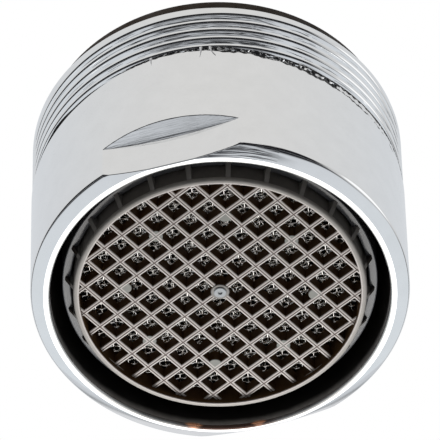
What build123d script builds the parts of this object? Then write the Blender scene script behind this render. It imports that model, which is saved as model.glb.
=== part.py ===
from build123d import *
import os
from math import ceil, hypot, radians, tan

# Tap aerator with a male M28 x 1 thread, in millimetres.
# It stands on its outlet lip at z = 0, with the thread, the washer and the inlet upward.
# The two wrench flats face -Y and +Y.

# Housing, turned from brass
body_diameter = 28.0
body_length = 11.4
outlet_wall = 1.45
lip_width = 0.55
lip_chamfer_height = 0.5
ledge_thickness = 1.2

# Thread, modelled to its outside diameter
thread_diameter = 27.9
thread_length = 5.7
thread_relief_depth = 0.6
thread_flank_angle = 30.0
thread_lead_chamfer = 0.3

# Wrench flats, each ending upward in a sloping round shoulder
across_flats = 26.0
flat_height = 3.1
flat_shoulder_radius = 28.0

# Sealing washer on the inlet end
washer_inset = 0.75
washer_width = 2.9
washer_thickness = 1.75

# Insert cage: flange, outer skirt, inner barrel and the ribs between the two
air_gap = 0.9
skirt_wall = 0.4
skirt_setback = 1.2
pocket_width = 0.4
barrel_wall = 0.44
barrel_height = 10.0
rim_setback = 0.25
cage_flange_overhang = 0.65
cage_flange_thickness = 1.2
rib_count = 24
rib_width = 0.38
rib_setback = 0.55
insert_turn = 64.0

# Outlet lattice with its gate mark
lattice_pitch = 1.76
lattice_bar = 0.4
lattice_setback = 0.45
lattice_depth = 1.0
smallest_corner = 0.3
gate_diameter = 1.38
gate_height = 0.06

# Woven screens and the rings that hold them in the barrel
screen_clearance = 0.12
screen_wire = 0.22
screen_gaps_across = 6
ring_clearance = 0.05
spacer_width = 1.0
spacer_height = 1.2
retainer_width = 1.2
retainer_height = 1.0

# Jet plate with its deflector
plate_thickness = 1.0
jet_count = 12
jet_width = 0.8
jet_length = 1.6
jet_circle_inset = 4.4
deflector_stem_diameter = 6.0
deflector_gap = 1.3
deflector_thickness = 0.9
deflector_overhang = 0.7

# Inlet strainer
strainer_height = 1.3
strainer_rim_width = 1.2
sieve_thickness = 0.6
sieve_washer_clearance = 0.5
sieve_eye_diameter = 2.6
sieve_rows = (5, 10, 15)
sieve_row_web = 0.8
sieve_slot_width = 0.8

# Fits, and how far a cutting shape passes beyond what it cuts
insert_clearance = 0.15
cut_allowance = 1.0

# Radii, from the outside inward
body_radius = body_diameter / 2
thread_radius = thread_diameter / 2
bore_radius = body_radius - outlet_wall
lip_radius = bore_radius + lip_width
skirt_radius = bore_radius - air_gap
skirt_bore_radius = skirt_radius - skirt_wall
barrel_radius = skirt_bore_radius - pocket_width
barrel_bore_radius = barrel_radius - barrel_wall
flange_radius = skirt_radius + cage_flange_overhang
ledge_radius = skirt_radius + insert_clearance
counterbore_radius = flange_radius + insert_clearance
washer_radius = thread_radius - washer_inset
washer_bore_radius = washer_radius - washer_width

# Levels, from the outlet lip upward
housing_height = body_length + thread_length
strainer_seat = housing_height - strainer_height
plate_seat = strainer_seat - plate_thickness
cage_seat = plate_seat - cage_flange_thickness
ledge_level = cage_seat - ledge_thickness
lattice_level = rim_setback + lattice_setback
lattice_back = lattice_level + lattice_depth
screen_thickness = 2 * screen_wire
spacer_level = lattice_back + screen_thickness
upper_screen_level = spacer_level + spacer_height
retainer_level = upper_screen_level + screen_thickness


def turned(*profile):
    """Solid turned about Z from (radius, level) corners."""
    return revolve(Plane.XZ * Polygon(*profile, align=None), Axis.Z)


def ring(inner, outer, low, high):
    """Plain ring between two radii and two levels."""
    return Pos(0, 0, low) * extrude(Circle(outer) - Circle(inner), high - low)


def round_pattern(radius, count, shape):
    """Flat shape repeated on a circle about Z, turned with it."""
    return Sketch() + PolarLocations(radius, count) * shape


def wrench_flat():
    """What the cutter takes off the -Y side, up to the sloping round shoulder."""
    flat = across_flats / 2
    reach = body_radius - flat + cut_allowance
    shoulder_level = flat_height + flat_shoulder_radius
    block = Pos(0, -flat, 0) * Box(
        2 * body_radius, reach, shoulder_level, align=(Align.CENTER, Align.MAX, Align.MIN))
    shoulder = Pos(0, -flat, shoulder_level) * Rot(90, 0, 0) * Cone(
        flat_shoulder_radius, flat_shoulder_radius - reach, reach,
        align=(Align.CENTER, Align.CENTER, Align.MIN))
    return block - shoulder


def housing():
    relief_radius = thread_radius - thread_relief_depth
    relief_flank = thread_relief_depth * tan(radians(thread_flank_angle))
    relief_drop = relief_flank * (body_radius - relief_radius) / thread_relief_depth
    sleeve = turned(
        (bore_radius, 0),
        (lip_radius, 0),
        (body_radius, lip_chamfer_height),
        (body_radius, body_length),
        (relief_radius, body_length + relief_drop),
        (thread_radius, body_length + relief_drop + relief_flank),
        (thread_radius, housing_height - thread_lead_chamfer),
        (thread_radius - thread_lead_chamfer, housing_height),
        (counterbore_radius, housing_height),
        (counterbore_radius, cage_seat),
        (ledge_radius, cage_seat),
        (ledge_radius, ledge_level),
        (bore_radius, ledge_level),
    )
    flat = wrench_flat()
    return sleeve - flat - Rot(0, 0, 180) * flat


def sealing_washer():
    return ring(washer_bore_radius, washer_radius, housing_height, housing_height + washer_thickness)


def lattice_cells():
    """Openings between the bars, cut off round by the barrel's bore."""
    opening = lattice_pitch - lattice_bar
    reach = ceil(barrel_bore_radius / lattice_pitch)
    steps = [(i + 0.5) * lattice_pitch for i in range(-reach, reach)]
    cells = Sketch()
    for x in steps:
        for y in steps:
            nearest_corner = hypot(abs(x) - opening / 2, abs(y) - opening / 2)
            if nearest_corner < barrel_bore_radius - smallest_corner:
                cells += Pos(x, y) * Rectangle(opening, opening)
    return cells & Circle(barrel_bore_radius)


def lattice():
    """Moulded bars at the outlet, with the gate mark in the middle."""
    root_radius = barrel_bore_radius + barrel_wall / 2
    bars = Pos(0, 0, lattice_level) * extrude(Circle(root_radius) - lattice_cells(), lattice_depth)
    gate_level = lattice_level - gate_height
    gate = Pos(0, 0, gate_level) * extrude(Circle(gate_diameter / 2), lattice_back - gate_level)
    return bars + gate


def rib():
    """Thin wall from barrel to skirt, with a front that slopes back to the skirt's end."""
    inner = barrel_radius - barrel_wall / 2
    outer = skirt_radius - skirt_wall / 2
    outline = Polygon(
        (inner, rib_setback),
        (barrel_radius, rib_setback),
        (outer, skirt_setback),
        (outer, barrel_height),
        (inner, barrel_height),
        align=None,
    )
    return extrude(Plane.XZ * outline, rib_width / 2, both=True)


def insert_cage():
    flange_top = cage_seat + cage_flange_thickness
    skirt = turned(
        (skirt_bore_radius, skirt_setback),
        (skirt_radius, skirt_setback),
        (skirt_radius, cage_seat),
        (flange_radius, cage_seat),
        (flange_radius, flange_top),
        (skirt_bore_radius, flange_top),
    )
    barrel = ring(barrel_bore_radius, barrel_radius, rim_setback, barrel_height)
    ribs = PolarLocations(0, rib_count) * rib()
    return Rot(0, 0, insert_turn) * (skirt + barrel + ribs + lattice())


def screen(level):
    """Wire disc cut round, as two crossed layers of wires that are joined where they touch."""
    radius = barrel_bore_radius - screen_clearance
    pitch = 2 * radius / screen_gaps_across
    wire_places = [(i - (screen_gaps_across - 2) / 2) * pitch for i in range(screen_gaps_across - 1)]
    wires = Sketch() + [Pos(0, y) * Rectangle(2 * radius, screen_wire) for y in wire_places]
    layer = extrude(wires & Circle(radius), screen_wire)
    disc = layer + Pos(0, 0, screen_wire) * Rot(0, 0, 90) * layer
    return Pos(0, 0, level) * disc


def spacer_ring():
    outer = barrel_bore_radius - ring_clearance
    return ring(outer - spacer_width, outer, spacer_level, spacer_level + spacer_height)


def retaining_ring():
    outer = barrel_bore_radius - ring_clearance
    return ring(outer - retainer_width, outer, retainer_level, retainer_level + retainer_height)


def jet_plate():
    """Clamped plate with a ring of jet slots above the edge of a deflector disc on a short stem."""
    plate_top = plate_seat + plate_thickness
    jet_circle_radius = flange_radius - jet_circle_inset
    deflector_radius = jet_circle_radius + deflector_overhang
    deflector_top = plate_seat - deflector_gap
    stem_radius = deflector_stem_diameter / 2
    plate = turned(
        (0, deflector_top - deflector_thickness),
        (deflector_radius, deflector_top - deflector_thickness),
        (deflector_radius, deflector_top),
        (stem_radius, deflector_top),
        (stem_radius, plate_seat),
        (flange_radius, plate_seat),
        (flange_radius, plate_top),
        (0, plate_top),
    )
    jet_faces = round_pattern(jet_circle_radius, jet_count, Rectangle(jet_length, jet_width))
    jets = Pos(0, 0, plate_seat) * extrude(jet_faces, plate_thickness)
    return Rot(0, 0, insert_turn) * (plate - jets)


def inlet_strainer():
    """Shallow clamped cup, upside down, with rows of radial slots in its end."""
    rim_bore = flange_radius - strainer_rim_width
    sieve_level = housing_height - sieve_thickness
    cup = turned(
        (0, sieve_level),
        (rim_bore, sieve_level),
        (rim_bore, strainer_seat),
        (flange_radius, strainer_seat),
        (flange_radius, housing_height),
        (0, housing_height),
    )
    eye_radius = sieve_eye_diameter / 2
    row_step = (washer_bore_radius - sieve_washer_clearance - eye_radius) / len(sieve_rows)
    slot = Rectangle(row_step - sieve_row_web, sieve_slot_width)
    slots = Sketch()
    for row, count in enumerate(sieve_rows):
        slots += round_pattern(eye_radius + (row + 0.5) * row_step, count, slot)
    cuts = Pos(0, 0, sieve_level) * extrude(slots, sieve_thickness)
    return Rot(0, 0, insert_turn) * (cup - cuts)


PIECES = {
    "housing": housing(),
    "sealing_washer": sealing_washer(),
    "insert_cage": insert_cage(),
    "lower_screen": screen(lattice_back),
    "spacer_ring": spacer_ring(),
    "upper_screen": screen(upper_screen_level),
    "retaining_ring": retaining_ring(),
    "jet_plate": jet_plate(),
    "inlet_strainer": inlet_strainer(),
}

os.makedirs("parts", exist_ok=True)
for node, piece in PIECES.items():
    export_step(piece, f"parts/{node}.step")
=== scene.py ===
from math import acos, ceil, cos, hypot, pi, radians, sin, sqrt

import bmesh
import bpy
import numpy as np
from mathutils import Matrix, Vector


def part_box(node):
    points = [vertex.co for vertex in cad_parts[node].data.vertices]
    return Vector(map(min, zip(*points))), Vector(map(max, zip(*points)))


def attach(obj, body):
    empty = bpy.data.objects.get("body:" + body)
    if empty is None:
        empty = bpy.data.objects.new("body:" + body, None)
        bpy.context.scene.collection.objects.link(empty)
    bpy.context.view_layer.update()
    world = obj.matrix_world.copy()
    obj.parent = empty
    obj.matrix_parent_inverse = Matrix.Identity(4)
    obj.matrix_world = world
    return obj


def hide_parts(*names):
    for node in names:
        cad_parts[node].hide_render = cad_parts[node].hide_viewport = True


# Tap aerator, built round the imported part. Sizes are in millimetres and angles in degrees.
# Angles round the axis are counted from -Y towards +X.

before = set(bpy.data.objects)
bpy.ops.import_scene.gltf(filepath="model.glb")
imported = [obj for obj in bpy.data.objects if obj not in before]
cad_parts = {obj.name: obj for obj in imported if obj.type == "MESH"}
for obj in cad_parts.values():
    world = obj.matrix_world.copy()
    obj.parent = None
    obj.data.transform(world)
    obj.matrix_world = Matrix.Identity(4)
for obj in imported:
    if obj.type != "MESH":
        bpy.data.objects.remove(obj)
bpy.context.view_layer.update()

MM = 0.001
ROOT = "root"


def radius_of(node):
    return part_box(node)[1].x / MM


def bottom_of(node):
    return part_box(node)[0].z / MM


def top_of(node):
    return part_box(node)[1].z / MM


# Sizes taken from the frame
body_radius = radius_of("housing")
housing_height = top_of("housing")
washer_radius = radius_of("sealing_washer")
washer_bottom = bottom_of("sealing_washer")
washer_top = top_of("sealing_washer")
flange_radius = radius_of("insert_cage")
rim_level = bottom_of("insert_cage")
flange_top = top_of("insert_cage")
lattice_back = bottom_of("lower_screen")
screen_radius = radius_of("lower_screen")
screen_thickness = top_of("lower_screen") - lattice_back
upper_screen_level = bottom_of("upper_screen")

# How finely the surfaces are divided
round_segments = 560
inner_segments = 240
disc_segments = 40
corner_rows = 5
edge_rows = 7
lip_edge_rows = 4
worn_edge_rows = 10
flat_row_count = 5
shoulder_row_count = 11
wall_row_count = 10
burr_rows = 7
gap_steps = 6
wire_sides = 6
wire_steps = 3
least_wire_points = 4

# Making of the meshes
merge_distance = 2e-4
sliver_length = 1e-4
crease_angle = 30.0
wire_crease_angle = 80.0

# Largest share of the length beside it that a rounding takes
round_share = 0.45
edge_round_share = 0.5
shoulder_round_share = 0.4

# Housing
bore_radius = 12.55
lip_radius = 13.02
least_chamfer = 0.1
chamfer_slope = 1.84
lip_round = 0.05
lip_bore_round = 0.25
flat_edge_round = 0.08
ledge_radius = 11.8
ledge_level = 12.4
cage_seat = 13.6
counterbore_radius = 12.45
turned_round = 0.07
flat_distance = 13.0
shoulder_radius = 28.0
shoulder_centre = 31.1
shoulder_curve = 1.1
shoulder_edge_round = 0.05
least_rise = 1e-6

# Edge between chamfer and wall, with its wear as (middle, spread, added rounding)
edge_round = 0.18
edge_wear = ((36.0, 11.0, 0.38), (62.0, 12.0, 0.25), (-30.0, 22.0, 0.2))
edge_fade = 2.0
scored_stretch = (12.0, 34.0)

# Thread, right hand, with one crest passing crest_level at crest_angle
thread_radius = 13.95
thread_pitch = 1.0
crest_level = 16.47
crest_angle = 14.9
land_level = 16.5
land_fade = 0.23
rough_depth = 0.1
lead_chamfer = 0.08

# One turn of the thread from groove to groove, as (place in the pitch, depth)
thread_profile = (
    (-0.49, 0.389), (-0.46, 0.372), (-0.43, 0.342), (-0.4, 0.304), (-0.28, 0.112), (-0.265, 0.094),
    (-0.245, 0.077), (-0.21, 0.055), (-0.17, 0.036), (-0.13, 0.019), (-0.09, 0.007), (-0.06, 0.001),
    (-0.05, 0.0), (0.08, 0.0), (0.11, 0.03), (0.14, 0.08), (0.29, 0.34), (0.37, 0.39))

# Where the body ends at the thread: a hump at the front, with a torn edge
edge_level = 10.9
edge_hump = 0.9
edge_hump_angle = 5.0
edge_hump_spread = 32.0
tears_per_turn = 330
splinters_per_turn = 560
tear_seed = 7
seam_inset = 0.03
torn_stretch = (-13.0, 104.0)
ridge_foot_spread = 0.7
ridge_head_least = 0.12
ridge_head_ragged = 0.26
ridge_lean = 0.05

# Depth of the tears, height of the seam and foot of its ridge, each as (angle, height)
tear_depths = ((-14.0, 0.0), (-10.0, 0.07), (8.0, 0.08), (14.0, 0.26), (95.0, 0.3), (104.0, 0.0))
seam_heights = (
    (-120.0, 0.15), (-60.0, 0.2), (-50.0, 0.34), (-44.0, 0.62), (-40.0, 0.55), (-34.0, 0.3),
    (-26.0, 0.22), (-20.0, 0.06), (-14.0, 0.06), (-12.5, 0.24), (6.0, 0.27), (11.0, 0.42),
    (25.0, 0.5), (45.0, 0.66), (80.0, 0.7), (104.0, 0.35), (125.0, 0.15))
ridge_feet = ((9.0, 0.18), (25.0, 0.32), (50.0, 0.38), (58.0, 0.16), (104.0, 0.1))

# Burrs as (angle, length, how far the tip lies aside)
burrs = ((10.8, 1.25, -0.1), (13.6, 1.1, 0.4), (-4.8, 0.9, 0.05))
burr_width = 0.22
burr_lift = 0.05
burr_arch = 0.1

# Insert cage
insert_turn = 64.0
skirt_radius = 11.65
skirt_bore_radius = 11.02
skirt_level = 1.65
skirt_round = 0.11
barrel_radius = 10.85
barrel_bore_radius = 10.41
barrel_top = 10.0
rim_round = 0.07
rim_outer_round = 0.3
rim_strip = 0.12
plastic_round = 0.06
rib_count = 24
rib_width = 0.38
rib_level = 0.55
rib_reach = 11.45
rib_end_radius = 11.05

# Angle from the viewer's side up to which the outer ends of the ribs keep the rib plastic; beyond it they are
# painted near black as shadow
lit_rib_reach = 68.0

# Lattice, pads and gate mark; bar_shoulder is in shares of bar_round and of bar_edge_drop
lattice_pitch = 1.76
lattice_bar = 0.38
lattice_level = 0.7
bar_edge_drop = 0.08
bar_round = 0.1
bar_shoulder = (0.4, 0.3)
bar_groove_width = 0.1
bar_groove_depth = 0.04
smallest_corner = 0.3
corner_recess = 0.55
pad_count = 8
pad_diameter = 1.02
pad_circle_pitches = 4.0
pad_setback = 0.02
pad_bevel = 0.04
gate_diameter = 1.38
gate_height = 0.06
gate_boss_diameter = 0.94
gate_boss_height = 0.1
gate_dimple_diameter = 0.34
gate_bevel = 0.05
disc_eye = 0.001

# Woven screens
wire_diameter = 0.13
weave_pitch = 0.46
weave_turns = (insert_turn + 36.0, insert_turn + 11.0)

# Washer
washer_bore_radius = 10.3
washer_round = 0.18

# Noise of the finishes, with grains counted to the metre
mottle_range = (0.3, 0.7)
noise_detail = 4.0
noise_roughness = 0.55
fine_grain = 2500.0
chrome_grain = 700.0
milled_grain = 900.0
gap_grain = 5000.0
gloss_patch = 3.0
lathe_grain = 4500.0
lathe_detail = 2.0
lathe_stretch = 0.05
cutter_grain = 6000.0
cutter_detail = 3.0
cutter_stretch = (0.03, 1.0, 1.0)

# Plastic and chrome
plain_sheen = 0.5
plastic_spread = 0.05
plastic_relief = 0.0024
plastic_roughness = 0.42
plastic_gloss_spread = 0.06
chrome_gloss_spread = 0.03
chrome_colour = (0.86, 0.87, 0.88)
milled_colour = (0.84, 0.85, 0.86)

# Torn metal at the seam, painted near black as shade, with small bright chips
chip_grain = 3600.0
chip_detail = 2.0
chip_colours = ((0.4, (0.006, 0.006, 0.007)), (0.54, (0.03, 0.03, 0.032)), (0.62, (0.5, 0.5, 0.5)))
chip_roughness = (0.6, 0.35)
chip_sheen = 0.1
chip_relief = 0.016

# Bore and its edge: near black as painted shade, with a lighter painted reflection that fades in from the
# lip; its worn copper spots, a brown stretch and a stretch painted darker as shade, each as (radius, angle,
# level, size)
bore_grain = 900.0
bore_shade_colours = ((0.008, 0.007, 0.006), (0.012, 0.011, 0.01))
painted_bore_reflection = (0.55, 0.53, 0.52, 1)
bore_roughness = (0.32, 0.48)
bore_sheen = 0.3
reflection_full = 0.2
reflection_reach = 1.2
reflection_unevenness = 0.3
edge_plating = ((0.62, 0.62, 0.61), (0.68, 0.68, 0.67))
# Colours of the edge where it is painted darker as shade
edge_shade_colours = ((0.16, 0.16, 0.16), (0.22, 0.22, 0.22))
edge_roughness = (0.25, 0.35)
copper_spots = ((12.55, 205.0, 0.2, 0.8), (12.55, 182.7, 0.2, 0.7))
copper_colour = (1.0, 0.5, 0.3, 1)
brown_stretch = ((12.6, 193.0, 0.1, 4.5),)
brown_colour = (0.09, 0.055, 0.045, 1)
# Stretch of the edge on the far side, painted darker as shade
shaded_stretch = ((12.6, 193.0, 0.1, 14.0),)
spot_flatness = 3.0
spot_core = 0.4

# Camera, fitted to the photographed circles and turned so that the wrench flat lies as in the photo
camera_tilt = 38.495
camera_turn = 14.9
camera_roll = 1.34
camera_distance = 461.08
camera_aim = (0.0212, -5.7141)
camera_lens = 512.1
camera_sensor = 36.0
camera_clip = (10.0, 10000.0)

# Studio, in the camera's own upright frame: x to its right, y away from it and z towards the inlet
key_aim = (0.0, 0.79, -0.61)
inlet_aim = (-0.4, -0.4, 0.8)
ambient_dark = 0.03
ambient_above = 0.5
ambient_above_edge = (0.1, 0.5)
ambient_far = 0.55
ambient_far_edge = (0.1, 0.9)

# Soft lights as (distance, size, power)
key_light = (75.0, 46.0, 0.0965)
inlet_light = (420.0, 300.0, 1.5)

# What the chrome mirrors: table, ceiling and a dark horizon. Edges go from the far side to the viewer
table_near = (0.756, 0.745, 0.728, 1)
table_far = (0.69, 0.715, 0.745, 1)
table_end = (0.765, 0.77, 0.785, 1)
table_end_edge = (0.15, 0.5)
table_edge = (0.0, 0.3, 0.42)
overhead_near = (0.66, 0.68, 0.71, 1)
overhead_far = (0.76, 0.8, 0.83, 1)
overhead_edge_low = (0.0, 0.22, 0.4)
overhead_edge_high = (0.05, 0.4, 0.7)
dark_colour = (0.01, 0.01, 0.012, 1)
horizon_lap = 0.06
horizon_blur = 0.05
strip_low = (-0.104, -0.092)
strip_high = (-0.05, -0.038)
strip_near = (0.2, 0.205, 0.215, 1)
strip_far = (0.66, 0.68, 0.71, 1)

# Soft edges of the softbox and the beam overhead, as (first turn, last turn, each side)
softbox_edges = ((-3.0, 5.0), (58.0, 68.0), (0.42, 0.55))
softbox_colour = (2.4, 2.34, 2.25, 1)
beam_edges = ((-54.0, -26.0), (-22.0, -11.0), (0.25, 0.45))
beam_shade = 0.92

# White card with a lamp in its middle
card_aim = (0.968, -0.134, 0.2)
card_edge = (0.82, 0.95)
card_glow = 0.68
lamp_edge = (0.95, 0.978)
lamp_glow = 1.15

# Floor
floor_reach = 6000.0
floor_drop = 0.02
floor_grain = 60.0
floor_colours = ((0.8, 0.8, 0.8), (0.83, 0.83, 0.83))
floor_roughness = 0.8


def new_object(name, data):
    obj = bpy.data.objects.new(name, data)
    bpy.context.scene.collection.objects.link(obj)
    return obj


class Surface:
    """Points and faces in millimetres, gathered into one mesh, each face with the number of its finish."""

    def __init__(self):
        self.points = []
        self.faces = []
        self.finishes = []

    def add(self, points, faces, finish):
        start = len(self.points)
        self.points.extend(tuple(p) for p in points)
        self.faces.extend(tuple(start + i for i in face) for face in faces)
        self.finishes.extend([finish] * len(faces))

    def add_sheet(self, rows, closed=False, finish=0):
        """Quads between rows of points, each row with the same number of points."""
        rows = np.asarray(rows, float)
        count, width = rows.shape[:2]
        last = width if closed else width - 1
        faces = []
        for i in range(count - 1):
            low, high = i * width, (i + 1) * width
            for j in range(last):
                k = (j + 1) % width
                faces.append((low + j, low + k, high + k, high + j))
        self.add(rows.reshape(-1, 3), faces, finish)

    def add_turned(self, profile, segments=inner_segments, finish=0):
        """Profile of (radius, level) points turned about the axis."""
        angles = np.linspace(0, 2 * pi, segments, endpoint=False)
        self.add_sheet([at(r, angles, z) for r, z in profile], closed=True, finish=finish)

    def piece(self, name, node, materials, turn=0.0, sharp_angle=crease_angle, sharp_finishes=()):
        """Object on the part's body that stands for a CAD node; some finishes always have a sharp border."""
        mesh = bpy.data.meshes.new(name)
        mesh.from_pydata((np.array(self.points) * MM).tolist(), [], self.faces)
        mesh.polygons.foreach_set("material_index", self.finishes)
        mesh.transform(Matrix.Rotation(radians(turn), 4, "Z"))
        clean(mesh, sharp_angle, sharp_finishes)
        mesh.polygons.foreach_set("use_smooth", [True] * len(mesh.polygons))
        for made in materials:
            mesh.materials.append(made)
        obj = new_object(name, mesh)
        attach(obj, ROOT)
        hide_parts(node)


def clean(mesh, sharp_angle, sharp_finishes):
    """Joins the points that meet, turns all faces outward and marks the sharp edges."""
    work = bmesh.new()
    work.from_mesh(mesh)
    bmesh.ops.remove_doubles(work, verts=work.verts, dist=merge_distance * MM)
    bmesh.ops.dissolve_degenerate(work, edges=work.edges, dist=sliver_length * MM)
    bmesh.ops.recalc_face_normals(work, faces=work.faces)
    for edge in work.edges:
        touching = {face.material_index for face in edge.link_faces}
        border = len(touching) > 1 and not touching.isdisjoint(sharp_finishes)
        edge.smooth = not border and edge.calc_face_angle(0.0) < radians(sharp_angle)
    work.to_mesh(mesh)
    work.free()


def at(radius, angle, level):
    """Points from radius, angle from -Y and level."""
    radius, angle, level = np.broadcast_arrays(radius, angle, level)
    return np.stack([radius * np.sin(angle), -radius * np.cos(angle), level], -1)


def bend(start, corner, end, steps):
    """Points along a rounded corner, from start to end."""
    points = []
    for t in np.linspace(0, 1, steps):
        first, second, third = (1 - t) ** 2, 2 * t * (1 - t), t ** 2
        points.append(tuple(first * s + second * c + third * e for s, c, e in zip(start, corner, end)))
    return points


def rounded(corners, radii, closed=True):
    """Profile with its corners rounded off, by one radius or by one for each corner."""
    corners = [np.array(c, float) for c in corners]
    count = len(corners)
    radii = np.broadcast_to(radii, count)
    profile = []
    for i, corner in enumerate(corners):
        if not closed and i in (0, count - 1):
            profile.append(tuple(corner))
            continue
        before, after = corners[i - 1] - corner, corners[(i + 1) % count] - corner
        room_before, room_after = np.linalg.norm(before), np.linalg.norm(after)
        reach = min(radii[i], round_share * room_before, round_share * room_after)
        start = corner + before / room_before * reach
        end = corner + after / room_after * reach
        profile += bend(start, corner, end, corner_rows)
    if closed:
        profile.append(profile[0])
    return profile


def eased(value):
    """Smooth step from 0 to 1."""
    value = np.clip(value, 0, 1)
    return value * value * (3 - 2 * value)


def signed(angle):
    """Angle in degrees between -180 and 180."""
    return np.degrees((angle + pi) % (2 * pi) - pi)


def along(angle, heights):
    """Height at an angle, between the given (angle, height) points."""
    return np.interp(signed(angle), *np.transpose(heights))


def ragged(angle, per_turn, seed):
    """Seeded noise round the axis, between 0 and 1."""
    knots = np.random.default_rng(seed).random(per_turn)
    place = angle % (2 * pi) / (2 * pi) * per_turn
    return np.interp(place, np.arange(per_turn + 1), np.append(knots, knots[0]))


# Housing

BRIGHT, BORE, BORE_EDGE, SCORED, MILLED, SEAM, THREADED, BURR, GAP_SHADE = range(9)


def housing_angles():
    """Angles round the housing, with the edges of both wrench flats among them."""
    edge = acos(flat_distance / body_radius)
    lip_edge = acos(flat_distance / (lip_radius + least_chamfer))
    exact = [side + sign * a for side in (0, pi) for sign in (-1, 1) for a in (edge, lip_edge)]
    even = np.linspace(-pi, pi, round_segments + 1)[:-1]
    wanted = np.concatenate([even, [(a + pi) % (2 * pi) - pi for a in exact]])
    return np.unique(np.round(wanted, 6))


def from_flat(angle):
    """Angle from the middle of the nearer wrench flat."""
    return np.abs((angle + pi / 2) % pi - pi / 2)


def body_edge(angle):
    """Level where the body ends at the thread."""
    off = signed(angle - radians(edge_hump_angle))
    return edge_level + edge_hump * np.exp(-(off / edge_hump_spread) ** 2)


def torn_edge(angle):
    """The edge, lowered where chips were torn out of it."""
    return body_edge(angle) - along(angle, tear_depths) * ragged(angle, tears_per_turn, tear_seed)


def seam_top(angle):
    """Level where the thread begins, above a rough seam that nearly closes at one place."""
    return body_edge(angle) + along(angle, seam_heights)


def seam_rows(angle, low, high):
    """Rows over the seam: a step, a bright ragged ridge where there is room, and another step, the steps
    painted dark as the shade of the gap.
    """
    top = seam_top(angle)
    uneven = 1 + ridge_foot_spread * (2 * ragged(angle, splinters_per_turn, tear_seed + 1) - 1)
    foot_level = np.minimum(body_edge(angle) + along(angle, ridge_feet) * uneven, top)
    head_drop = ridge_head_least + ridge_head_ragged * ragged(angle, splinters_per_turn, tear_seed + 2)
    head_level = np.maximum(foot_level, top - head_drop)
    face = body_radius - seam_inset + 0 * angle
    foot = (face - ridge_lean, foot_level)
    head = (face, head_level)
    return [low, foot], [foot, head], [head, (face, top), high]


def worn_edge(angle):
    """Rounding of the edge between chamfer and wall, larger where it was polished more."""
    size = edge_round + 0 * angle
    for middle, spread, more in edge_wear:
        size = size + more * np.exp(-((signed(angle) - middle) / spread) ** 2)
    past_flat = np.degrees(from_flat(angle) - acos(flat_distance / body_radius))
    return flat_edge_round + (size - flat_edge_round) * eased((past_flat + edge_fade) / edge_fade)


def lip_rows(angle):
    """Rows round the bore's edge, over the lip to the chamfer, and up the chamfer to the wall."""
    zero = np.zeros_like(angle)
    wall = np.minimum(body_radius, flat_distance / np.cos(from_flat(angle)))
    lip = np.minimum(lip_radius, wall - least_chamfer)
    slope = hypot(chamfer_slope, 1)
    length = (wall - lip) / chamfer_slope * slope
    lower = np.minimum(lip_round, round_share * length)
    upper = np.minimum(worn_edge(angle), edge_round_share * length)

    def on_chamfer(distance):
        return lip + distance * chamfer_slope / slope, distance / slope

    corner = (wall - lip) / chamfer_slope
    bore = bore_radius + zero
    inside = bend((bore, lip_bore_round + zero), (bore, zero), (bore + lip_bore_round, zero), edge_rows)
    over = [inside[-1]] + bend((lip - lower, zero), (lip, zero), on_chamfer(lower), lip_edge_rows)
    chamfer = [on_chamfer(lower)]
    chamfer += bend(on_chamfer(length - upper), (wall, corner), (wall, corner + upper), worn_edge_rows)
    return inside, over, chamfer


def shoulder_rows(angle, start):
    """Rows up the wrench flat, over its sloping shoulder and up the wall to the thread."""
    off = from_flat(angle)
    tip = acos(flat_distance / body_radius)
    half_chord = flat_distance * np.tan(np.minimum(off, tip))
    wall, bottom = start
    foot = shoulder_centre - np.sqrt(shoulder_radius ** 2 - half_chord ** 2)
    reach = shoulder_radius + flat_distance
    cone = reach - body_radius * np.cos(off)
    head = shoulder_centre - np.sqrt(cone ** 2 - (body_radius * np.sin(off)) ** 2)
    head = np.where(off < tip, head, foot)
    flat = [(wall, bottom + t * (foot - bottom)) for t in np.linspace(0, 1, flat_row_count)]
    soft = np.minimum(shoulder_edge_round, shoulder_round_share * (head - foot))
    rise = head - foot - soft

    def on_shoulder(t):
        share = t * rise / np.maximum(head - foot, least_rise)
        return wall + (body_radius - wall) * share ** shoulder_curve, foot + t * rise

    shoulder = [on_shoulder(t) for t in np.linspace(0, 1, shoulder_row_count)]
    full = body_radius + 0 * angle
    shoulder += bend(shoulder[-1], (full, head), (full, head + soft), edge_rows)[1:]
    wall_start = head + soft
    wall_height = torn_edge(angle) - head - soft
    wall_rows = [(full, wall_start + t * wall_height) for t in np.linspace(0, 1, wall_row_count)]
    return flat, shoulder, wall_rows


def thread_wall(angle, level):
    """Radius of the thread's surface, plain above its last groove and broken at the inlet end."""
    turns = (angle - radians(crest_angle)) / (2 * pi)
    phase = (level - crest_level) / thread_pitch - turns
    profile = np.array(thread_profile)
    places = np.concatenate([[-0.5], profile[:, 0]])
    depths = np.concatenate([profile[-1:, 1], profile[:, 1]])
    depth = np.interp((phase + 0.5) % 1 - 0.5, places, depths)
    groove = crest_level + (np.floor(phase) + 0.5 + turns) * thread_pitch
    depth = depth * (1 - eased((groove - land_level) / land_fade))
    return np.minimum(thread_radius - depth, thread_radius - lead_chamfer + housing_height - level)


def thread_rows(angle):
    """Rows that follow the helix, cut off at the body and at the inlet end."""
    turns = (angle + pi) / (2 * pi)
    offset = crest_level - (radians(crest_angle) + pi) / (2 * pi) * thread_pitch
    first = int(np.floor(edge_level - offset)) - 1
    last = int(np.ceil(housing_height - offset)) + 1
    lowest = seam_top(angle)
    rows = []
    for k in range(first, last):
        for place, _ in thread_profile:
            level = np.clip(offset + (k + place + turns) * thread_pitch, lowest, housing_height)
            rows.append((thread_wall(angle, level), level))
    return rows


def bore_profile():
    """Inside of the housing, from the inlet end past the cage's ledge to the bore's edge."""
    corners = [(counterbore_radius, housing_height), (counterbore_radius, cage_seat),
               (ledge_radius, cage_seat), (ledge_radius, ledge_level),
               (bore_radius, ledge_level), (bore_radius, lip_bore_round)]
    return rounded(corners, turned_round, closed=False)


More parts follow.
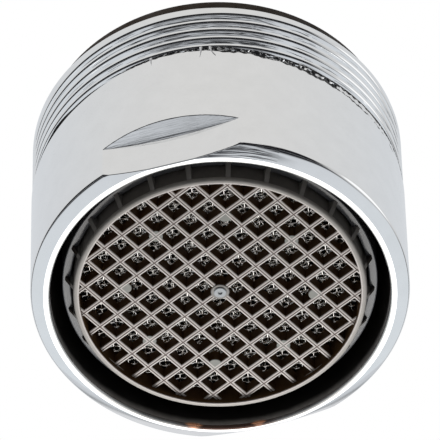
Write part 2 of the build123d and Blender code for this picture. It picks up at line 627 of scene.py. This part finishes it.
def burr(surface, angle, length, lean):
    """Thin curl of metal that hangs from the torn edge; lean is how far its tip lies aside."""
    rows = []
    for t in np.linspace(0, 1, burr_rows):
        half = burr_width / 2 * (1 - t) / body_radius
        middle = angle + lean * t * t / body_radius
        level = seam_top(angle) - length * t
        lift = burr_lift + burr_arch * t * (1 - t)
        radii = body_radius + np.array([0.0, lift, 0.0])
        rows.append(at(radii, middle + np.array([-half, 0.0, half]), level))
    surface.add_sheet(rows, finish=BURR)


def split(angle, stretch):
    """Parts of a row before, within and after a stretch of angles."""
    first, last = np.searchsorted(angle, np.radians(stretch))
    return slice(None, first + 1), slice(first, last + 1), slice(last, None)


def housing(finishes):
    surface = Surface()
    angle = housing_angles()
    full = np.append(angle, angle[0] + 2 * pi)

    def sheet(rows, finish, part=slice(None)):
        surface.add_sheet([at(r, full, z)[part] for r, z in rows], finish=finish)

    inside, over, chamfer = lip_rows(full)
    flat, shoulder, wall = shoulder_rows(full, chamfer[-1])
    thread = thread_rows(full)
    sheet(inside, BORE_EDGE)
    sheet(over, BRIGHT)
    for part, finish in zip(split(full, scored_stretch), (BRIGHT, SCORED, BRIGHT)):
        sheet(chamfer, finish, part)
    sheet(flat, BRIGHT)
    sheet(shoulder, MILLED)
    sheet(wall, BRIGHT)
    low_step, ridge, high_step = seam_rows(full, wall[-1], thread[0])
    # Outside the torn stretch the whole seam, ridge too, is painted near black as the shade of the gap.
    for part, step, top in zip(split(full, torn_stretch), (GAP_SHADE, SEAM, GAP_SHADE), (GAP_SHADE, BRIGHT, GAP_SHADE)):
        sheet(low_step, step, part)
        sheet(high_step, step, part)
        sheet(ridge, top, part)
    for low, high in zip(thread, thread[1:]):
        depth = thread_radius - min(np.median(low[0]), np.median(high[0]))
        sheet([low, high], BRIGHT if depth < rough_depth else THREADED)
    sheet([thread[-1], (counterbore_radius, housing_height)], BRIGHT)
    sheet(bore_profile(), BORE)
    for place, length, lean in burrs:
        burr(surface, radians(place), length, lean)
    surface.piece("chromed_housing", "housing", finishes, sharp_finishes=(SEAM, GAP_SHADE))


# Insert cage

LIGHT, RIM_SHADE, SHADED_GROOVE, SHADED, PAD, GATE, SKIRT, SHADED_RIB, SHADED_POCKET, RIB_END_SHADOW = range(10)


def lattice_lines():
    """Lines across the lattice: (place, drop from the front), with no drop given between the bars."""
    half = lattice_bar / 2
    groove = bar_groove_width / 2
    shoulder = (half - bar_shoulder[0] * bar_round, bar_shoulder[1] * bar_edge_drop)
    side = [(half, bar_edge_drop), shoulder, (half - bar_round, 0.0), (groove, 0.0)]
    bar = [(-place, drop) for place, drop in side] + [(0.0, bar_groove_depth)] + side[::-1]
    reach = ceil(barrel_radius / lattice_pitch)
    gap = lattice_pitch - lattice_bar
    lines = []
    for i in range(-reach, reach + 1):
        middle = i * lattice_pitch
        lines += [(middle + place, drop) for place, drop in bar]
        if i < reach:
            lines += [(middle + half + gap * k / gap_steps, None) for k in range(1, gap_steps)]
    return lines


def lattice(surface):
    """Crossed bars, open between them, with round front edges and a shallow groove along each, painted darker
    as shade.
    """
    lines = lattice_lines()
    places = [place for place, _ in lines]
    drops = [drop for _, drop in lines]
    count = len(lines) - 1
    in_bar = [None not in drops[i:i + 2] for i in range(count)]
    open_corner = barrel_bore_radius - smallest_corner
    root = (barrel_radius + barrel_bore_radius) / 2

    def front(i, j):
        known = [drop for drop in (drops[i], drops[j]) if drop is not None]
        if len(known) == 2 and bar_groove_depth in known:
            return lattice_level + bar_groove_depth
        return lattice_level + min(known, default=0.0)

    def middle(i, j):
        return (places[i] + places[i + 1]) / 2, (places[j] + places[j + 1]) / 2

    def solid(i, j):
        return hypot(*middle(i, j)) < root and (in_bar[i] or in_bar[j])

    def web(i, j):
        corner = [abs(v) // lattice_pitch * lattice_pitch + lattice_bar / 2 for v in middle(i, j)]
        return hypot(*middle(i, j)) < root and hypot(*corner) > open_corner

    def in_groove(i):
        return bar_groove_depth in drops[i:i + 2]

    filled = [[solid(i, j) for j in range(count)] for i in range(count)]

    # The four neighbours of a square, each with the two corners of the square on its side
    beside = (((-1, 0), (0, 3)), ((1, 0), (2, 1)), ((0, -1), (1, 0)), ((0, 1), (3, 2)))
    for i in range(count):
        for j in range(count):
            square = ((i, j), (i + 1, j), (i + 1, j + 1), (i, j + 1))
            behind = [(places[a], places[b], lattice_back) for a, b in square]
            if filled[i][j]:
                before = [(places[a], places[b], front(a, b)) for a, b in square]
                # Squares in a groove take the darker groove plastic: painted shade.
                finish = SHADED_GROOVE if in_groove(i) or in_groove(j) else LIGHT
            # Corners too small to open stay filled, but are set back and given the shaded brown: a sheet of
            # painted shade where the cell would be open.
            elif web(i, j):
                before = [(places[a], places[b], lattice_level + corner_recess) for a, b in square]
                finish = SHADED
            else:
                continue
            surface.add(before, [(0, 3, 2, 1)], finish)
            surface.add(behind, [(0, 1, 2, 3)], SHADED)
            if not filled[i][j]:
                continue
            for (di, dj), (p, q) in beside:
                if 0 <= i + di < count and 0 <= j + dj < count and filled[i + di][j + dj]:
                    continue
                surface.add([before[p], before[q], behind[q], behind[p]], [(0, 1, 2, 3)], SHADED)


def disc(surface, x, y, profile, finish):
    """Small turned shape with its axis at x, y."""
    part = Surface()
    part.add_turned(profile, segments=disc_segments)
    surface.add([(px + x, py + y, pz) for px, py, pz in part.points], part.faces, finish)


def ribs(surface):
    """Thin walls from barrel to skirt, whose fronts slope back to the skirt's end; painted darker than the
    bars as shade, with their outer ends painted as shadow away from the viewer's side.
    """
    half = rib_width / 2
    inner = (barrel_radius + barrel_bore_radius) / 2
    share = (rib_end_radius - barrel_radius) / (rib_reach - barrel_radius)
    end_start = (rib_end_radius, rib_level + share * (skirt_level - rib_level))
    front = [(inner, rib_level), (barrel_radius, rib_level), end_start]
    end = [end_start, (rib_reach, skirt_level)]
    across = rounded([(-half, 1.0), (-half, 0.0), (half, 0.0), (half, 1.0)], plastic_round, closed=False)
    for k in range(rib_count):
        turn = 2 * pi * k / rib_count
        outward = np.array([cos(turn), sin(turn), 0])
        aside = np.array([-sin(turn), cos(turn), 0])
        upward = np.array([0, 0, 1])
        from_viewer = turn + radians(insert_turn - camera_turn) + pi / 2
        # Outer ends away from the viewer's side take the near-black plastic: painted shadow.
        end_finish = SHADED_RIB if cos(from_viewer) > cos(radians(lit_rib_reach)) else RIB_END_SHADOW
        for slope, finish in ((front, SHADED_RIB), (end, end_finish)):
            rows = []
            for r, low in slope:
                levels = [barrel_top if up == 1 else low + up for _, up in across]
                rows.append([outward * r + aside * s + upward * z for (s, _), z in zip(across, levels)])
            surface.add_sheet(rows, finish=finish)


def rim(surface):
    """Front of the barrel: a light inner edge, then a middle and a soft outer edge painted darker as shade.
    """
    middle_in, middle_out = barrel_bore_radius + rim_strip, barrel_radius - rim_outer_round
    inner_start = (barrel_bore_radius, rim_level + rim_round)
    outer_end = (barrel_radius, rim_level + rim_outer_round)
    inner_end = (barrel_bore_radius + rim_round, rim_level)
    inside = bend(inner_start, (barrel_bore_radius, rim_level), inner_end, corner_rows)
    outside = bend((middle_out, rim_level), (barrel_radius, rim_level), outer_end, edge_rows)
    surface.add_turned(inside + [(middle_in, rim_level)], finish=LIGHT)
    # The middle and the outer rounding take the darker grey plastic: painted shade.
    surface.add_turned([(middle_in, rim_level), (middle_out, rim_level)], finish=RIM_SHADE)
    surface.add_turned(outside, finish=RIM_SHADE)
    # The barrel's outer wall, deep in the pockets, takes a darker plastic: painted shade.
    surface.add_turned([outer_end, (barrel_radius, barrel_top)], finish=SHADED_POCKET)
    back = [(barrel_radius, barrel_top), (barrel_bore_radius, barrel_top), inner_start]
    surface.add_turned(back, finish=SHADED)


def skirt(surface):
    """Outer sleeve of the cage, with the flange that rests on the housing's ledge; its glossy plastic is
    painted darker than the bars as shade.
    """
    corners = [(skirt_bore_radius, skirt_level), (skirt_radius, skirt_level), (skirt_radius, cage_seat),
               (flange_radius, cage_seat), (flange_radius, flange_top), (skirt_bore_radius, flange_top)]
    rounds = [skirt_round] * 2 + [plastic_round] * 4
    surface.add_turned(rounded(corners, rounds), finish=SKIRT)


def pads(surface):
    """Ejector marks on a circle of crossings."""
    radius, level = pad_diameter / 2, lattice_level + pad_setback
    circle = pad_circle_pitches * lattice_pitch
    face = [(disc_eye, level), (radius - pad_bevel, level), (radius, level + pad_bevel)]
    side = [face[-1], (radius, lattice_back)]
    for k in range(pad_count):
        turn = 2 * pi * k / pad_count
        disc(surface, circle * cos(turn), circle * sin(turn), face, PAD)
        disc(surface, circle * cos(turn), circle * sin(turn), side, SHADED)


def gate(surface):
    """Gate mark in the middle: a low disc, a boss on it and a dimple in that."""
    base, boss, dimple = gate_diameter / 2, gate_boss_diameter / 2, gate_dimple_diameter / 2
    level = lattice_level - gate_height
    top = level - gate_boss_height
    knob = [(disc_eye, level), (dimple - gate_bevel, level), (dimple, top), (boss - gate_bevel, top),
            (boss, top + gate_bevel), (boss, level)]
    edge = [(boss, level), (base - gate_bevel, level), (base, level + gate_bevel)]
    disc(surface, 0, 0, knob, GATE)
    disc(surface, 0, 0, edge, SHADED_RIB)
    disc(surface, 0, 0, [edge[-1], (base, lattice_back)], SHADED)


def insert_cage(finishes):
    surface = Surface()
    lattice(surface)
    rim(surface)
    skirt(surface)
    ribs(surface)
    pads(surface)
    gate(surface)
    surface.piece("moulded_cage", "insert_cage", finishes, turn=insert_turn)


# Woven screens

def wire(surface, path, side):
    """Round wire along a path; side is the level direction square to it."""
    path = np.asarray(path, float)
    course = np.gradient(path, axis=0)
    course /= np.linalg.norm(course, axis=1)[:, None]
    upward = np.cross(course, side)
    rows = []
    for k in range(wire_sides):
        turn = 2 * pi * k / wire_sides
        rows.append(path + wire_diameter / 2 * (cos(turn) * np.asarray(side) + sin(turn) * upward))
    surface.add_sheet(np.stack(rows, 1), closed=True)


def woven_screen(name, node, level, turn, finishes):
    """Round cut of wire cloth, each wire over one and under the next."""
    surface = Surface()
    middle = level + screen_thickness / 2
    count = int(2 * screen_radius / weave_pitch)
    places = [(i - (count - 1) / 2) * weave_pitch for i in range(count)]
    for i, place in enumerate(places):
        half = sqrt(screen_radius ** 2 - place ** 2)
        steps = max(least_wire_points, int(2 * half / weave_pitch * wire_steps))
        run = np.linspace(-half, half, steps)
        wave = wire_diameter / 2 * (-1) ** i * np.cos(pi * (run - places[0]) / weave_pitch)
        across = np.full(steps, place)
        wire(surface, np.stack([run, across, middle + wave], 1), (0, 1, 0))
        wire(surface, np.stack([across, run, middle - wave], 1), (1, 0, 0))
    surface.piece(name, node, finishes, turn=turn, sharp_angle=wire_crease_angle)


# Washer

def sealing_washer(finishes):
    corners = [(washer_bore_radius, washer_bottom), (washer_radius, washer_bottom),
               (washer_radius, washer_top), (washer_bore_radius, washer_top)]
    surface = Surface()
    surface.add_turned(rounded(corners, washer_round))
    surface.piece("rubber_washer", "sealing_washer", finishes)


# Materials

class Nodes:
    """Short way to add and join shader nodes in one tree."""

    def __init__(self, tree):
        self.tree = tree
        tree.nodes.clear()

    def add(self, kind, values=(), **settings):
        node = self.tree.nodes.new(kind)
        for name, value in settings.items():
            setattr(node, name, value)
        for name, value in dict(values).items():
            socket = node.inputs[name]
            if isinstance(value, bpy.types.NodeSocket):
                self.tree.links.new(value, socket)
            else:
                socket.default_value = value
        return node

    def math(self, operation, a, b=0.0):
        return self.add("ShaderNodeMath", {0: a, 1: b}, operation=operation).outputs[0]

    def eased(self, value, low, high, start=0.0, end=1.0):
        """From start to end, smoothly, while value goes from low to high."""
        values = {"Value": value, "From Min": low, "From Max": high, "To Min": start, "To Max": end}
        return self.add("ShaderNodeMapRange", values, interpolation_type="SMOOTHSTEP").outputs["Result"]

    def ramp(self, factor, stops):
        node = self.add("ShaderNodeValToRGB", {"Fac": factor})
        elements = node.color_ramp.elements
        elements.remove(elements[0])
        for i, (place, colour) in enumerate(stops):
            element = elements[0] if i == 0 else elements.new(place)
            element.position = place
            element.color = (*colour, 1)
        return node.outputs["Color"]

    def mottled(self, mottle, darker, lighter):
        """Colour between two, by noise."""
        return self.ramp(mottle, zip(mottle_range, (darker, lighter)))

    def mix(self, factor, a, b):
        values = {"Factor": factor, "A": a, "B": b}
        return self.add("ShaderNodeMix", values, data_type="RGBA").outputs["Result"]

    def noise(self, vector, scale, detail=noise_detail):
        values = {"Vector": vector, "Scale": scale, "Detail": detail, "Roughness": noise_roughness}
        return self.add("ShaderNodeTexNoise", values).outputs["Fac"]

    def vector(self, x, y, z=0.0):
        return self.add("ShaderNodeCombineXYZ", {"X": x, "Y": y, "Z": z}).outputs["Vector"]

    def parts(self, vector):
        return self.add("ShaderNodeSeparateXYZ", {"Vector": vector}).outputs

    def measure(self, operation, a, b=(0, 0, 0)):
        """Number worked out from one vector or two."""
        return self.add("ShaderNodeVectorMath", {0: a, 1: b}, operation=operation).outputs["Value"]

    def facing(self, direction, aim):
        """Cosine between a direction and a fixed aim."""
        return self.measure("DOT_PRODUCT", direction, aim)

    def bump(self, height, relief):
        """Normal on a relief that is so many millimetres high."""
        values = {"Height": height, "Strength": 1.0, "Distance": relief * MM}
        return self.add("ShaderNodeBump", values).outputs["Normal"]

    def surface(self, values):
        """Ends a material with the principled shader."""
        shader = self.add("ShaderNodeBsdfPrincipled", values).outputs["BSDF"]
        self.add("ShaderNodeOutputMaterial", {"Surface": shader})


def new_material(name):
    """Material without nodes yet, a way to add them, and the place on the object that is shaded."""
    made = bpy.data.materials.new(name)
    made.use_nodes = True
    nodes = Nodes(made.node_tree)
    place = nodes.add("ShaderNodeTexCoord").outputs["Object"]
    return made, nodes, place


def turning_lines(nodes, place):
    """Fine lines round the axis, as a lathe leaves them."""
    x, y, z = nodes.parts(place)
    radius = nodes.measure("LENGTH", nodes.vector(x, y))
    course = nodes.math("MULTIPLY", nodes.math("ADD", x, y), lathe_stretch)
    return nodes.noise(nodes.vector(radius, z, course), lathe_grain, lathe_detail)


def milling_lines(nodes, place):
    """Fine lines straight across the wrench flat, as a cutter leaves them."""
    values = {"Vector": place, "Scale": cutter_stretch}
    lines = nodes.add("ShaderNodeMapping", values).outputs["Vector"]
    return nodes.noise(lines, cutter_grain, cutter_detail)


def material(name, colour, spread, roughness, gloss_spread, metallic=0.0, grain=fine_grain, relief=0.0,
             lines=None, sheen=plain_sheen):
    """Finish whose colour and gloss vary a little; lines is what leaves its relief, in place of the grain."""
    made, nodes, place = new_material(name)
    mottle = nodes.noise(place, grain)
    darker = tuple(c * (1 - spread) for c in colour)
    lighter = tuple(min(1, c * (1 + spread)) for c in colour)
    patches = nodes.noise(place, grain / gloss_patch)
    height = lines(nodes, place) if lines else mottle
    nodes.surface({
        "Base Color": nodes.mottled(mottle, darker, lighter),
        "Roughness": nodes.eased(patches, *mottle_range, roughness - gloss_spread, roughness + gloss_spread),
        "Metallic": metallic,
        "Specular IOR Level": sheen,
        "Normal": nodes.bump(height, relief),
    })
    return made


def plating(name, spread, roughness, relief, gloss_spread=chrome_gloss_spread, colour=chrome_colour,
            grain=chrome_grain, lines=turning_lines):
    """Chrome, with the lines of the tool that cut the brass under it."""
    return material(name, colour, spread, roughness, gloss_spread, metallic=1.0, grain=grain, relief=relief,
                    lines=lines)


def plastic(name, colour, spread=plastic_spread, roughness=plastic_roughness, sheen=plain_sheen):
    """Moulded plastic with a fine grain."""
    return material(name, colour, spread, roughness, plastic_gloss_spread, relief=plastic_relief, sheen=sheen)


def shaded_chipped_material(name):
    """Torn metal painted near black as the shade in the seam, with small bright chips."""
    made, nodes, place = new_material(name)
    chips = nodes.noise(place, chip_grain, chip_detail)
    nodes.surface({
        "Base Color": nodes.ramp(chips, chip_colours),
        "Roughness": nodes.eased(chips, *mottle_range, *chip_roughness),
        "Specular IOR Level": chip_sheen,
        "Normal": nodes.bump(chips, chip_relief),
    })
    return made


def near_spots(nodes, place, spots):
    """1 close to any of the spots, 0 further off."""
    share = 0.0
    flattened = Vector((1.0, 1.0, spot_flatness))
    values = {0: place, 1: flattened}
    place = nodes.add("ShaderNodeVectorMath", values, operation="MULTIPLY").outputs["Vector"]
    for radius, angle, level, size in spots:
        middle = Vector(at(radius, radians(angle), level)) * flattened * MM
        distance = nodes.measure("DISTANCE", place, middle)
        near = nodes.eased(distance, spot_core * size * MM, size * MM, 1.0, 0.0)
        share = nodes.math("MAXIMUM", share, near)
    return share


def shaded_bore_material(name):
    """Bore painted near black as shade, with a lighter painted reflection fading in from the lip, and worn
    down to copper in spots.
    """
    made, nodes, place = new_material(name)
    level = nodes.parts(place)["Z"]
    mottle = nodes.noise(place, bore_grain)
    reach = nodes.math("ADD", level, nodes.math("MULTIPLY", mottle, reflection_unevenness * MM))
    plating_and_reflection = nodes.eased(reach, reflection_full * MM, reflection_reach * MM, 1.0, 0.0)
    shade = nodes.mix(plating_and_reflection, nodes.mottled(mottle, *bore_shade_colours), painted_bore_reflection)
    shade = nodes.mix(near_spots(nodes, place, copper_spots), shade, copper_colour)
    nodes.surface({
        "Base Color": shade,
        "Roughness": nodes.eased(mottle, *mottle_range, *bore_roughness),
        "Specular IOR Level": bore_sheen,
    })
    return made


def bore_edge_material(name):
    """Plated edge of the bore, painted darker as shade and brown on one side, and worn down to copper in
    spots.
    """
    made, nodes, place = new_material(name)
    mottle = nodes.noise(place, bore_grain)
    plating_and_reflection = nodes.mottled(mottle, *edge_plating)
    painted_shade = nodes.mottled(mottle, *edge_shade_colours)
    shade = nodes.mix(near_spots(nodes, place, shaded_stretch), plating_and_reflection, painted_shade)
    shade = nodes.mix(near_spots(nodes, place, brown_stretch), shade, brown_colour)
    shade = nodes.mix(near_spots(nodes, place, copper_spots), shade, copper_colour)
    nodes.surface({
        "Base Color": shade,
        "Roughness": nodes.eased(mottle, *mottle_range, *edge_roughness),
        "Metallic": 1.0,
    })
    return made


def paint(node, finish):
    """Gives a shown CAD node its finish."""
    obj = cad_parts[node]
    obj.data.materials.clear()
    obj.data.materials.append(finish)


# Studio

def turned_to_view(vector):
    """Direction in the camera's upright frame, turned into the part's frame."""
    return Matrix.Rotation(radians(camera_turn), 3, "Z") @ Vector(vector)


def camera():
    tilt, roll = radians(camera_tilt), radians(camera_roll)
    back = turned_to_view((0, -sin(tilt), -cos(tilt)))
    level = turned_to_view((1, 0, 0))
    upright = turned_to_view((0, -cos(tilt), sin(tilt)))
    right = cos(roll) * level - sin(roll) * upright
    upward = sin(roll) * level + cos(roll) * upright
    data = bpy.data.cameras.new("photo_camera")
    data.lens = camera_lens
    data.sensor_width = camera_sensor
    data.clip_start = camera_clip[0] * MM
    data.clip_end = camera_clip[1] * MM
    obj = new_object("photo_camera", data)
    place = (camera_distance * back - camera_aim[0] * right - camera_aim[1] * upward) * MM
    turn = Matrix((right, upward, back)).transposed().to_4x4()
    obj.matrix_world = Matrix.Translation(place) @ turn
    bpy.context.scene.camera = obj


def mirrored_studio(nodes, direction):
    """What the chrome sees: table, ceiling, a dark horizon that is widest at the viewer, and lamps."""
    aside, away, height = nodes.parts(direction)
    level = nodes.vector(aside, away)
    compass = nodes.add("ShaderNodeVectorMath", {0: level}, operation="NORMALIZE").outputs["Vector"]
    near = nodes.math("ADD", nodes.math("MULTIPLY", nodes.facing(compass, (0, -1, 0)), 0.5), 0.5)
    depth = nodes.math("MULTIPLY", height, -1.0)
    turn = nodes.math("DEGREES", nodes.math("ARCTAN2", away, depth))

    def by_nearness(values):
        """Value that goes from the far side past the sides to the viewer."""
        return nodes.ramp(near, [(place, (v, v, v)) for place, v in zip((0.0, 0.5, 1.0), values)])

    def panel(start, end, side, strength=1.0):
        """Soft-edged panel overhead, from turn to turn and as far to each side."""
        lengthwise = nodes.math("MULTIPLY", nodes.eased(turn, *start), nodes.eased(turn, *end, strength, 0.0))
        return nodes.math("MULTIPLY", lengthwise, nodes.eased(nodes.math("ABSOLUTE", aside), *side, 1.0, 0.0))

    above_edge = nodes.math("SUBTRACT", height, by_nearness(table_edge))
    on_table = nodes.eased(above_edge, -horizon_blur, horizon_blur)
    ceiling_start = nodes.math("SUBTRACT", by_nearness(overhead_edge_low), horizon_lap)
    on_ceiling = nodes.eased(depth, ceiling_start, by_nearness(overhead_edge_high))
    far_table = nodes.mix(nodes.eased(height, *table_end_edge), table_end, table_far)
    table = nodes.mix(near, far_table, table_near)
    ceiling = nodes.mix(near, overhead_far, overhead_near)
    room = nodes.mix(nodes.eased(height, -horizon_blur, horizon_blur), ceiling, table)
    room = nodes.mix(nodes.math("MAXIMUM", on_table, on_ceiling), dark_colour, room)
    below_strip, above_strip = nodes.eased(height, *strip_low), nodes.eased(height, *strip_high, 1.0, 0.0)
    strip = nodes.math("MULTIPLY", below_strip, above_strip)
    room = nodes.mix(strip, room, nodes.mix(near, strip_far, strip_near))
    room = nodes.mix(panel(*beam_edges, beam_shade), room, dark_colour)
    room = nodes.mix(panel(*softbox_edges), room, softbox_colour)
    to_card = nodes.facing(direction, Vector(card_aim).normalized())
    for edge, glow in ((card_edge, card_glow), (lamp_edge, lamp_glow)):
        room = nodes.mix(nodes.eased(to_card, *edge), room, (glow, glow, glow, 1))
    return room


def soft_studio(nodes, direction):
    """What lights the matt surfaces: little from the viewer, more from the far side and the table."""
    height = nodes.facing(direction, (0, 0, 1))
    far = nodes.facing(direction, key_aim)
    above = nodes.eased(height, *ambient_above_edge, 0.0, ambient_above)
    beyond = nodes.eased(far, *ambient_far_edge, ambient_dark, ambient_far)
    return nodes.ramp(nodes.math("ADD", above, beyond), ((0.0, (0, 0, 0)), (1.0, (1, 1, 1))))


def surroundings():
    """White to the camera, one studio to mirrors and another to matt surfaces."""
    world = bpy.data.worlds.new("studio")
    bpy.context.scene.world = world
    world.use_nodes = True
    nodes = Nodes(world.node_tree)
    generated = nodes.add("ShaderNodeTexCoord").outputs["Generated"]
    values = {"Vector": generated, "Rotation": (0, 0, -radians(camera_turn))}
    direction = nodes.add("ShaderNodeMapping", values).outputs["Vector"]
    light = nodes.add("ShaderNodeLightPath").outputs
    mirrored = nodes.math("MAXIMUM", light["Is Glossy Ray"], light["Is Transmission Ray"])
    seen = nodes.mix(mirrored, soft_studio(nodes, direction), mirrored_studio(nodes, direction))
    seen = nodes.mix(light["Is Camera Ray"], seen, (1, 1, 1, 1))
    shown = nodes.add("ShaderNodeBackground", {"Color": seen, "Strength": 1.0}).outputs["Background"]
    nodes.add("ShaderNodeOutputWorld", {"Surface": shown})


def soft_light(name, direction, distance, size, power):
    """Square soft light that shines at the part from a direction in the camera's upright frame."""
    data = bpy.data.lights.new(name, "AREA")
    data.size = size * MM
    data.energy = power
    obj = new_object(name, data)
    aim = turned_to_view(direction).normalized()
    obj.location = aim * distance * MM
    obj.rotation_euler = aim.to_track_quat("Z", "Y").to_euler()
    obj.visible_glossy = False
    obj.visible_camera = False


def floor_material(name):
    """Pale matt floor that is clear from below."""
    made, nodes, place = new_material(name)
    shade = nodes.mottled(nodes.noise(place, floor_grain), *floor_colours)
    values = {"Base Color": shade, "Roughness": floor_roughness}
    top = nodes.add("ShaderNodeBsdfPrincipled", values).outputs["BSDF"]
    clear = nodes.add("ShaderNodeBsdfTransparent").outputs["BSDF"]
    behind = nodes.add("ShaderNodeNewGeometry").outputs["Backfacing"]
    both = nodes.add("ShaderNodeMixShader", {"Fac": behind, 1: top, 2: clear}).outputs["Shader"]
    nodes.add("ShaderNodeOutputMaterial", {"Surface": both})
    return made


def floor():
    """Pale floor under the lip, which shows only from above."""
    reach, level = floor_reach * MM, -floor_drop * MM
    corners = [(x * reach, y * reach, level) for x, y in ((-1, -1), (1, -1), (1, 1), (-1, 1))]
    mesh = bpy.data.meshes.new("floor")
    mesh.from_pydata(corners, [], [(0, 1, 2, 3)])
    mesh.materials.append(floor_material("pale_floor"))
    obj = new_object("floor", mesh)
    for ray in ("diffuse", "glossy", "transmission", "shadow"):
        setattr(obj, f"visible_{ray}", False)


# Finishes

chrome = plating("bright_chrome", spread=0.02, roughness=0.07, relief=0.0008)
scored_chrome = plating("scored_chrome", spread=0.03, roughness=0.1, relief=0.022)
milled_chrome = plating("milled_chrome", spread=0.03, roughness=0.12, relief=0.018, gloss_spread=0.04,
                        colour=milled_colour, grain=milled_grain, lines=milling_lines)
threaded_chrome = plating("threaded_chrome", spread=0.03, roughness=0.08, relief=0.07)
# Bore: near black as painted shade, lighter near the lip as painted reflection.
shaded_bore = shaded_bore_material("shaded_bore")
bore_edge = bore_edge_material("worn_and_shaded_bore_edge")
shaded_chipped_edge = shaded_chipped_material("shaded_chipped_edge")
# Near black: painted shade in the gap at the seam.
painted_gap_shade = material("painted_gap_shade", (0.006, 0.006, 0.006), spread=0.3, roughness=0.6, gloss_spread=0.1,
                    grain=gap_grain, relief=0.004, sheen=0.05)
# Burrs in a near-white non-metal: painted highlight on the curled chrome.
burr_painted_highlight = material("bright_burr", (0.85, 0.85, 0.86), spread=0.03, roughness=0.35, gloss_spread=0.05,
                      relief=0.001)
rubber = material("matt_rubber", (0.022, 0.0135, 0.008), spread=0.2, roughness=0.6, gloss_spread=0.1,
                  relief=0.006, sheen=0.2)
light_plastic = plastic("light_grey_plastic", (0.43, 0.4, 0.38))
# Grey plastic: painted shade on the rim, and the strainer's own colour.
grey_plastic_and_rim_shade = plastic("warm_grey_plastic_and_rim_shade", (0.272, 0.258, 0.241))
# Darker plastic for the bars' grooves: painted shade.
shaded_groove_plastic = plastic("shaded_groove_plastic", (0.15, 0.122, 0.112), spread=0.06, roughness=0.45, sheen=0.3)
# Dark brown plastic: painted shade on the cell walls, the backs and the hidden sides.
brown_plastic = plastic("shaded_brown_plastic", (0.088, 0.05, 0.022), spread=0.15, roughness=0.5, sheen=0.1)
pad_plastic = plastic("pad_plastic", (0.16, 0.162, 0.15), spread=0.04, roughness=0.4)
gate_plastic = plastic("gate_plastic", (0.28, 0.297, 0.31), spread=0.04, roughness=0.35)
# Skirt plastic, glossy and darker than the bars as painted shade.
shaded_skirt_plastic = material("glossy_shaded_skirt_plastic", (0.075, 0.078, 0.084), spread=0.05, roughness=0.2,
                         gloss_spread=0.05, relief=0.002, sheen=0.75)
# Rib plastic, darker than the bars as painted shade.
shaded_rib_plastic = plastic("shaded_rib_plastic", (0.18, 0.172, 0.163))
# Pocket plastic, darker than the bars as painted shade.
shaded_pocket_plastic = plastic("shaded_pocket_plastic", (0.13, 0.121, 0.112), spread=0.1, roughness=0.4, sheen=0.3)
# Near-black plastic, painted shade: on the outer ends of the ribs and on the parts deep inside the cage.
painted_shade_plastic = plastic("painted_shade_plastic", (0.02, 0.016, 0.013), spread=0.1, roughness=0.5, sheen=0.3)
steel = material("stainless_wire", (0.97, 0.96, 0.94), spread=0.03, roughness=0.1, gloss_spread=0.04,
                 metallic=1.0, relief=0.001)

# Pieces, each with its finishes in the order of their numbers

housing([chrome, shaded_bore, bore_edge, scored_chrome, milled_chrome, shaded_chipped_edge, threaded_chrome,
         burr_painted_highlight, painted_gap_shade])
sealing_washer([rubber])
insert_cage([light_plastic, grey_plastic_and_rim_shade, shaded_groove_plastic, brown_plastic, pad_plastic, gate_plastic,
             shaded_skirt_plastic, shaded_rib_plastic, shaded_pocket_plastic, painted_shade_plastic])
woven_screen("lower_weave", "lower_screen", lattice_back, weave_turns[0], [steel])
woven_screen("upper_weave", "upper_screen", upper_screen_level, weave_turns[1], [steel])
# The rings and jet plate inside are painted near black, shade that keeps the inside of the cage dark.
paint("spacer_ring", painted_shade_plastic)
paint("retaining_ring", painted_shade_plastic)
paint("jet_plate", painted_shade_plastic)
paint("inlet_strainer", grey_plastic_and_rim_shade)

surroundings()
soft_light("overhead_softbox", key_aim, *key_light)
soft_light("inlet_softbox", inlet_aim, *inlet_light)
floor()
camera()

bpy.context.scene.view_settings.view_transform = "Standard"
